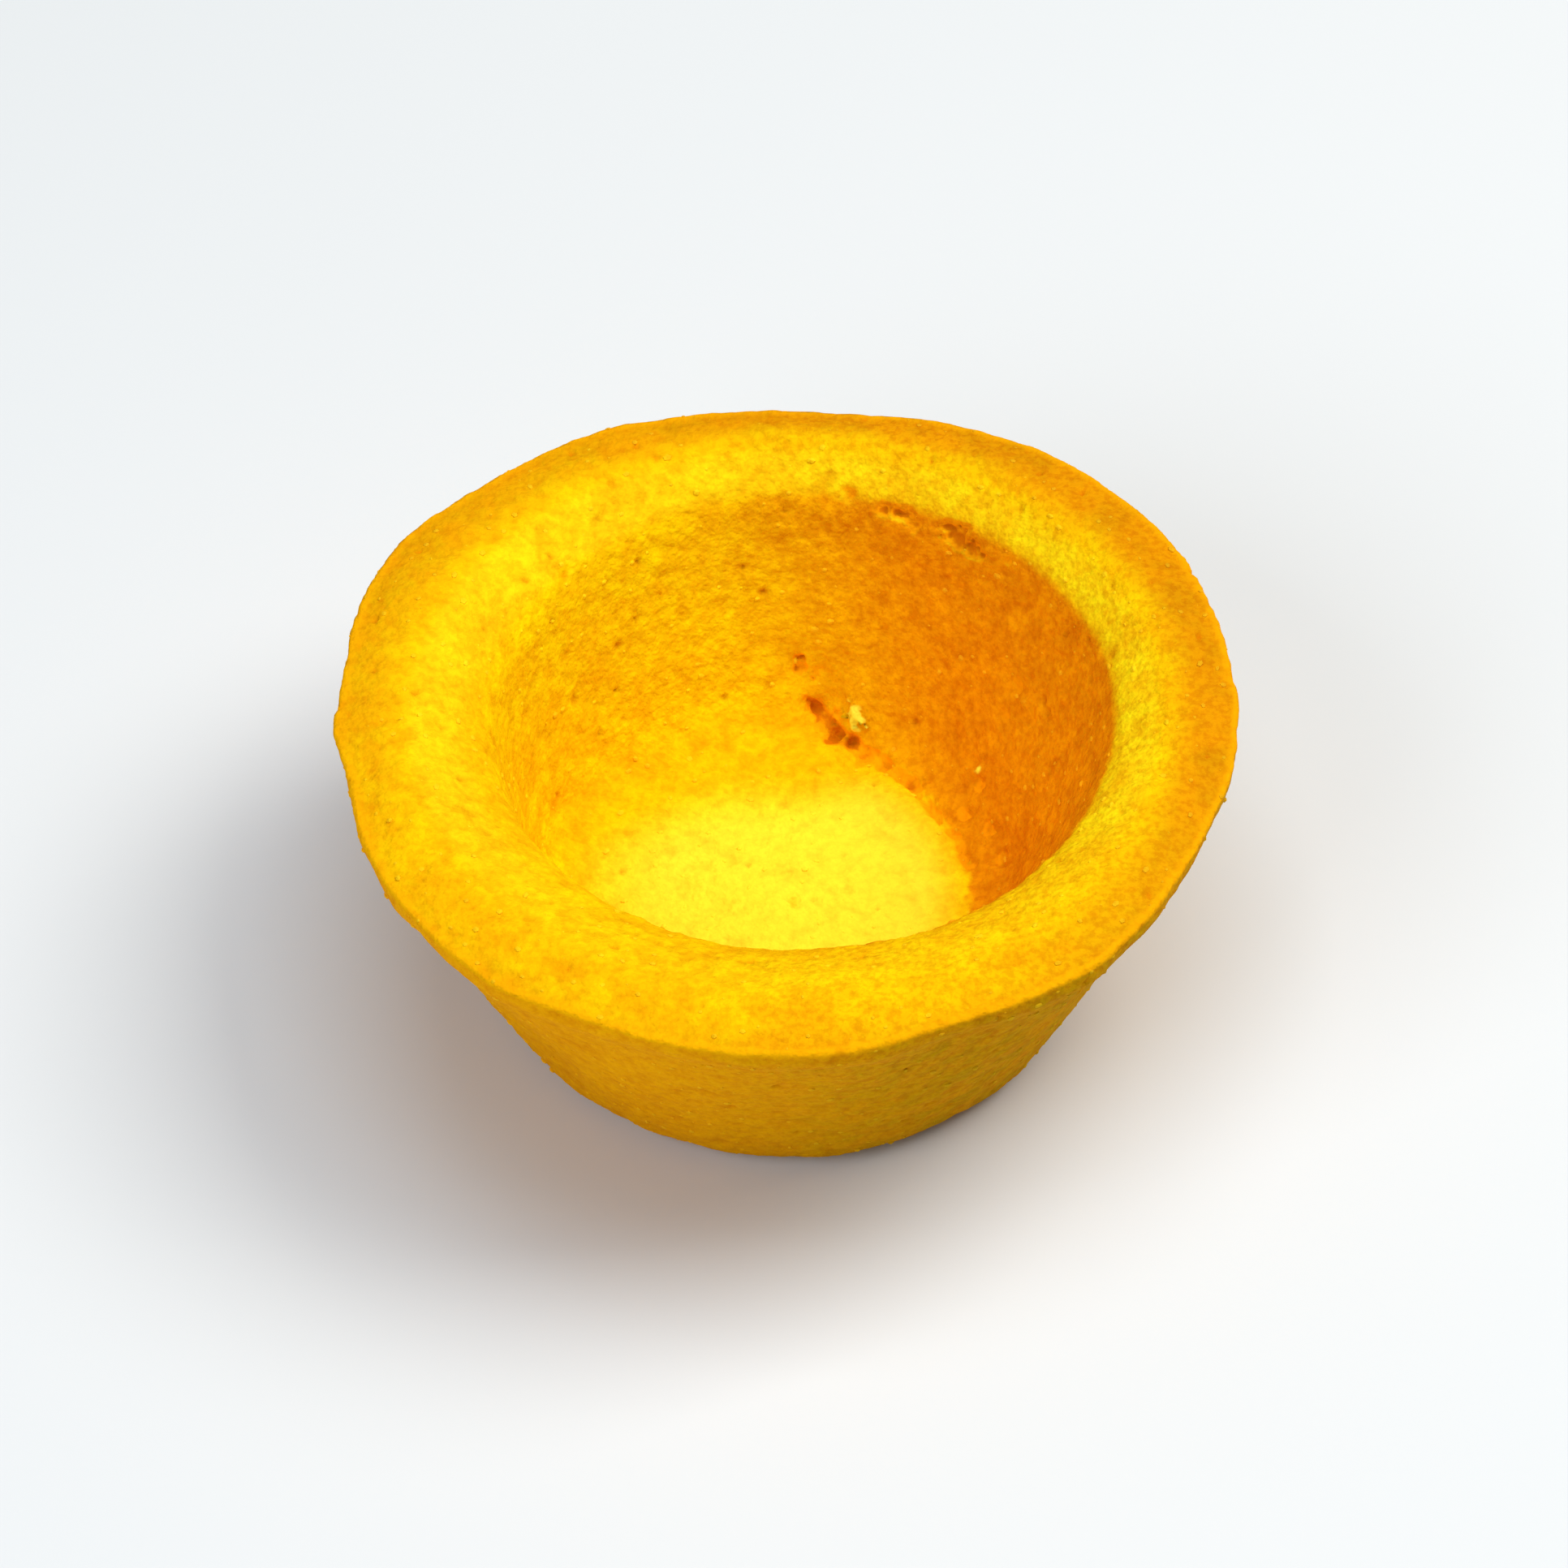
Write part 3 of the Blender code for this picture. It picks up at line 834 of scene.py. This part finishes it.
def pastry_material(settings):
    """Baked shortcrust with its mottling, painted shade in its pores, hollows, dents and lip corner, and
    the finest grain as bump.
    """
    material, graph = new_material("baked_shortcrust")
    place = graph.node("ShaderNodeTexCoord").outputs["Object"]
    color = pastry_color(graph, place, settings)
    # Painted shade on the lip's upper corner, in the outside's colour
    corner_shade = graph.multiply(attribute(graph, "corner"), settings.lip_corner_shading)
    color = graph.mix(corner_shade, color, settings.outside_and_shade_color)
    # Painted shade in the crumb's hollows
    hollow_shade = graph.ramp(attribute(graph, "relief"), *HOLLOW_SHADE_LEVELS, settings.hollow_shading, 0.0)
    color = graph.mix(hollow_shade, color, graph.tinted(color, settings.speck_and_shade_tint))
    # Painted shade in the pores
    pore = graph.multiply(attribute(graph, "pore"), settings.pore_shading)
    color = graph.mix(pore, color, settings.pit_shade_color)
    color = marked_color(graph, place, color, settings)

    grains = graph.cells(place, FINE_GRAIN_SIZE)[0]
    rough = graph.subtract(graph.noise(place, *FINE_PATTERN), graph.multiply(grains, FINE_GRAIN_SHARE))
    inputs = {"Height": rough, "Strength": BUMP_STRENGTH, "Distance": BUMP_DISTANCE}
    bump = graph.node("ShaderNodeBump", inputs).outputs[0]
    finish_material(graph, color, settings.roughness, settings.specular, bump)
    return material


def grain_material(crust_settings, settings):
    """Small grains a little paler than the crust around them."""
    material, graph = new_material("pastry_grains")
    place = graph.node("ShaderNodeTexCoord").outputs["Object"]
    around = pastry_color(graph, place, crust_settings)
    color = graph.mix(settings.paleness, around, settings.light_color)
    finish_material(graph, color, settings.roughness, settings.specular)
    return material


def floor_material(settings):
    """Plain pale floor with the faintest unevenness."""
    material, graph = new_material("stage_floor")
    place = graph.node("ShaderNodeTexCoord").outputs["Object"]
    cloud = graph.noise(place, *CLOUD_PATTERN)
    color = graph.mix(cloud, settings.floor_color, settings.floor_far_color)
    finish_material(graph, color, STAGE_ROUGHNESS, STAGE_SPECULAR)
    return material


def a_length(name, description, default):
    return bpy.props.FloatProperty(
        name=name, description=description, default=default, unit="LENGTH", precision=6
    )


def an_angle(name, description, degrees):
    return bpy.props.FloatProperty(
        name=name, description=description, default=math.radians(degrees), unit="ROTATION"
    )


def a_power(name, default):
    return bpy.props.FloatProperty(name=name, description="Power in watts", default=default)


def a_color(name, description, default):
    return bpy.props.FloatVectorProperty(
        name=name, description=description, default=(*default, 1.0), size=4, subtype="COLOR",
        min=0.0, max=1.0,
    )


def a_share(name, description, default):
    return bpy.props.FloatProperty(
        name=name, description=description, default=default, min=0.0, max=1.0, subtype="FACTOR"
    )


class TartCrustSettings(bpy.types.PropertyGroup):
    """Sizes and colours of the pastry."""

    detail: a_length("Detail", "Edge of the voxels that the even mesh is made of", 0.00024)
    most_triangles: bpy.props.IntProperty(
        name="Most triangles", description="What the finished mesh is thinned out to", default=192000
    )
    smoothing: bpy.props.IntProperty(
        name="Smoothing", description="How often the mesh is smoothed", default=3
    )
    crumb_size: a_length("Crumb size", "Width of one crumb of the surface", 0.0009)
    crumb_height: a_length("Crumb height", "How far the crumb stands out", 0.00016)
    lump_size: a_length("Lump size", "Width of the broad lumps", 0.0038)
    lump_height: a_length("Lump height", "How far the broad lumps stand out", 0.00018)
    pore_spacing: a_length("Pore spacing", "Width of the patch that holds at most one pore", 0.0012)
    pore_depth: a_length("Pore depth", "How deep a pore is", 0.00022)
    pore_share: a_share("Pore share", "Share of the patches that have a pore", 0.20)
    lip_fray: a_length("Lip fray", "How ragged the lip is", 0.00016)
    lip_sharpness: a_length("Lip sharpness", "How far the lip's upper corner is filled out", 0.00020)
    wall_color: a_color("Wall colour", "Inside wall", (0.97, 0.71, 0.001))
    # Painted shade: the cavity's right wall, and the dents
    shade_color: a_color("Warm side colour", "Inside wall on the browner side", (0.985, 0.350, 0.001))
    # Paler crust with a painted pool of light on the floor
    pale_and_lit_color: a_color("Floor colour", "Cavity floor, the palest place", (0.96, 0.81, 0.028))
    slope_color: a_color("Inner slope colour", "Rim's inner slope", (0.96, 0.63, 0.0015))
    # Painted highlight on the crest's ring, over a paler crust
    crest_highlight_color: a_color("Crest colour", "Ring where the rim is highest", (0.97, 0.76, 0.006))
    lip_color: a_color("Lip colour", "Rim's outer band and lip", (0.95, 0.59, 0.001))
    lip_dark_color: a_color(
        "Browned lip colour", "Rim's outer band and lip on the browner side", (0.66, 0.27, 0.001)
    )
    # The outer wall's own colour, also painted as shade on the lip's upper corner
    outside_and_shade_color: a_color("Outside colour", "Outer wall and base", (0.96, 0.43, 0.001))
    # Painted shade on the outer wall's right
    outside_shaded_color: a_color(
        "Browned outside colour", "Outer wall on the browner side", (0.58, 0.32, 0.001)
    )
    # Random browner patches, and painted shade on the floor's back left
    brown_and_shade_color: a_color("Browned colour", "Browner patches", (0.86, 0.33, 0.001))
    # Tint of the random specks, also painted shade in the crumb's hollows
    speck_and_shade_tint: a_color(
        "Speck tint", "What the finest specks and the crumb's hollows are tinted", (0.80, 0.58, 0.5)
    )
    # Pale crumbs at the tear, partly a painted highlight
    crumb_color: a_color("Loose crumb colour", "Pale crumbs at the tear", (0.97, 0.80, 0.045))
    # Painted shade in pits: pores, deep dents, the foot of the right wall and its blotches
    pit_shade_color: a_color("Pore colour", "Inside the pores", (0.62, 0.15, 0.001))
    # Painted highlight on the crest's ring, over a paler crust
    crest_paleness_and_highlight: a_share("Crest paleness", "How much paler the rim's highest ring is", 0.65)
    # Painted shade at the foot of the cavity's right wall
    foot_shading: a_share("Low browning", "How much browner the foot of the wall is on the warm side", 0.35)
    # Painted shade on the floor's back left
    floor_back_shading: a_share("Floor browning", "How much browner the floor's back left is", 0.32)
    edge_browning: a_share("Edge browning", "How much browner the lip's very edge is", 0.45)
    # Painted shade on the lip's upper corner
    lip_corner_shading: a_share("Lip line", "How much the lip's corner takes the colour of the outside", 0.70)
    patchiness: a_share("Patchiness", "How strong the browner patches are", 0.45)
    blotchiness: a_share("Blotchiness", "How strong the small browner blotches are", 0.36)
    speckling: a_share("Speckling", "How strong the finest browner specks are", 0.65)
    # Painted shade in the crumb's hollows
    hollow_shading: a_share("Hollow browning", "How much browner the crumb's hollows are", 0.45)
    # Painted shade in the pores
    pore_shading: a_share("Pore browning", "How much browner the pores are", 0.55)
    roughness: a_share("Roughness", "Roughness of the surface", 0.9)
    specular: a_share("Specular level", "Strength of the highlight", 0.02)


class TartGrainSettings(bpy.types.PropertyGroup):
    """Sizes and colours of the grains on the surface."""

    size: a_length("Grain size", "Half the width of the largest grains", 0.00024)
    spacing: a_length("Spacing", "Least distance between two grains", 0.00075)
    density: bpy.props.FloatProperty(
        name="Density", description="Most grains on a square metre of surface", default=400000.0
    )
    seed: bpy.props.IntProperty(name="Seed", description="Picks the arrangement", default=12)
    light_color: a_color("Light colour", "Palest grains", (0.96, 0.74, 0.02))
    paleness: a_share("Paleness", "How much paler the grains are than the crust", 0.20)
    roughness: a_share("Roughness", "Roughness of the grains", 0.8)
    specular: a_share("Specular level", "Strength of the highlight", 0.04)


class TartStageSettings(bpy.types.PropertyGroup):
    """Camera, lights and floor."""

    elevation: an_angle("Elevation", "How steeply the camera looks down", 46.1)
    roll: an_angle("Roll", "How far the camera leans to one side", -1.2)
    distance: a_length("Distance", "From the camera to the middle of the rim", 0.45)
    view_width: a_length("View width", "What the frame takes in at that distance", 0.086)
    view_drop: a_length("View drop", "How far the frame's middle is below the middle of the rim", 0.0043)
    key_power: a_power("Key light", 2.90)
    top_power: a_power("Top light", 1.39)
    fill_power: a_power("Fill light", 1.51)
    sky_strength: bpy.props.FloatProperty(
        name="Sky", description="Strength of the even light", default=0.155
    )
    floor_color: a_color("Floor colour", "The pale floor", (0.738, 0.75, 0.772))
    floor_far_color: a_color("Second floor colour", "What the floor varies to", (0.758, 0.77, 0.792))


def turned_towards(thing, place, target, roll=0.0):
    """Put a camera or light at a place, aim it at a target and roll it about that line."""
    thing.location = place
    turn = (target - place).to_track_quat("-Z", "Y") @ Quaternion((0.0, 0.0, 1.0), roll)
    thing.rotation_euler = turn.to_euler()


def add_soft_light(look, power):
    """A square area light that shines on the case from one direction."""
    light = bpy.data.lights.new(look.name, "AREA")
    light.shape = "SQUARE"
    light.size = LIGHT_WIDTH
    light.energy = power
    light.color = look.tint
    lamp = bpy.data.objects.new(look.name, light)
    bpy.context.scene.collection.objects.link(lamp)
    turned_towards(lamp, RIM_MIDDLE + look.direction.normalized() * LIGHT_DISTANCE, RIM_MIDDLE)


def add_camera(settings):
    """The camera at the photographed angle, with the whole case in the frame."""
    data = bpy.data.cameras.new("camera")
    data.lens = data.sensor_width * settings.distance / settings.view_width
    data.clip_start = CAMERA_REACH.start
    data.clip_end = CAMERA_REACH.end
    camera = bpy.data.objects.new("camera", data)
    bpy.context.scene.collection.objects.link(camera)
    back = Vector((0.0, -math.cos(settings.elevation), math.sin(settings.elevation)))
    turned_towards(camera, RIM_MIDDLE + back * settings.distance, RIM_MIDDLE, settings.roll)
    data.shift_y = -settings.view_drop / settings.view_width
    bpy.context.scene.camera = camera


class TART_OT_make_crust(bpy.types.Operator):
    """Make the pastry case with its crumb, pores, crease and frayed lip"""

    bl_idname = "tart.make_crust"
    bl_label = "Make the pastry case"

    def execute(self, context):
        settings = context.scene.tart_crust
        crust = smooth_shell(settings)
        press_marks(crust)
        tree = crumb_tree(pastry_material(settings))
        add_geometry_modifier(crust, tree, {
            "Crumb size": settings.crumb_size,
            "Crumb height": settings.crumb_height,
            "Lump size": settings.lump_size,
            "Lump height": settings.lump_height,
            "Pore spacing": settings.pore_spacing,
            "Pore depth": settings.pore_depth,
            "Pore share": settings.pore_share,
            "Lip fray": settings.lip_fray,
            "Lip sharpness": settings.lip_sharpness,
        })
        made_plain(crust)
        thinned(crust, settings.most_triangles)
        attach(crust, BODY)
        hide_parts(NODE)
        return {"FINISHED"}


class TART_OT_make_grains(bpy.types.Operator):
    """Sow small pale grains over the pastry, half sunk in it"""

    bl_idname = "tart.make_grains"
    bl_label = "Make the grains"

    def execute(self, context):
        settings = context.scene.tart_grains
        crust = bpy.data.objects["tart_crust"]
        grains = plain_mesh_object("tart_grains", crust.data.copy())
        tree = grain_tree(grain_material(context.scene.tart_crust, settings))
        add_geometry_modifier(grains, tree, {
            "Grain size": settings.size,
            "Spacing": settings.spacing,
            "Thickest per square metre": settings.density,
            "Seed": settings.seed,
        })
        made_plain(grains)
        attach(grains, BODY)
        return {"FINISHED"}


class TART_OT_make_stage(bpy.types.Operator):
    """Make the floor, the lights and the camera"""

    bl_idname = "tart.make_stage"
    bl_label = "Make the stage"

    def execute(self, context):
        settings = context.scene.tart_stage
        bpy.ops.mesh.primitive_plane_add(size=STAGE_WIDTH, location=(0.0, 0.0, 0.0))
        floor = context.object
        floor.name = "stage_floor"
        floor.data.materials.append(floor_material(settings))
        add_soft_light(KEY_LIGHT, settings.key_power)
        add_soft_light(TOP_LIGHT, settings.top_power)
        add_soft_light(FILL_LIGHT, settings.fill_power)
        world = bpy.data.worlds.new("sky")
        world.use_nodes = True
        background = world.node_tree.nodes["Background"]
        background.inputs["Color"].default_value = SKY_COLOR
        background.inputs["Strength"].default_value = settings.sky_strength
        context.scene.world = world
        context.scene.view_settings.view_transform = "Standard"
        add_camera(settings)
        return {"FINISHED"}


class TART_PT_panel(bpy.types.Panel):
    """Lists what makes the tart case"""

    bl_label = "Tart case"
    bl_idname = "TART_PT_panel"
    bl_space_type = "VIEW_3D"
    bl_region_type = "UI"
    bl_category = "Tart"

    def draw(self, context):
        for kind, settings in (
            (TART_OT_make_crust, context.scene.tart_crust),
            (TART_OT_make_grains, context.scene.tart_grains),
            (TART_OT_make_stage, context.scene.tart_stage),
        ):
            box = self.layout.box()
            box.operator(kind.bl_idname)
            for name in settings.__annotations__:
                box.prop(settings, name)


CLASSES = (
    TartCrustSettings,
    TartGrainSettings,
    TartStageSettings,
    TART_OT_make_crust,
    TART_OT_make_grains,
    TART_OT_make_stage,
    TART_PT_panel,
)


def register():
    for kind in CLASSES:
        bpy.utils.register_class(kind)
    bpy.types.Scene.tart_crust = bpy.props.PointerProperty(type=TartCrustSettings)
    bpy.types.Scene.tart_grains = bpy.props.PointerProperty(type=TartGrainSettings)
    bpy.types.Scene.tart_stage = bpy.props.PointerProperty(type=TartStageSettings)


def unregister():
    del bpy.types.Scene.tart_stage
    del bpy.types.Scene.tart_grains
    del bpy.types.Scene.tart_crust
    for kind in reversed(CLASSES):
        bpy.utils.unregister_class(kind)


def main():
    register()
    bpy.ops.tart.make_crust()
    bpy.ops.tart.make_grains()
    bpy.ops.tart.make_stage()


if __name__ == "__main__":
    main()
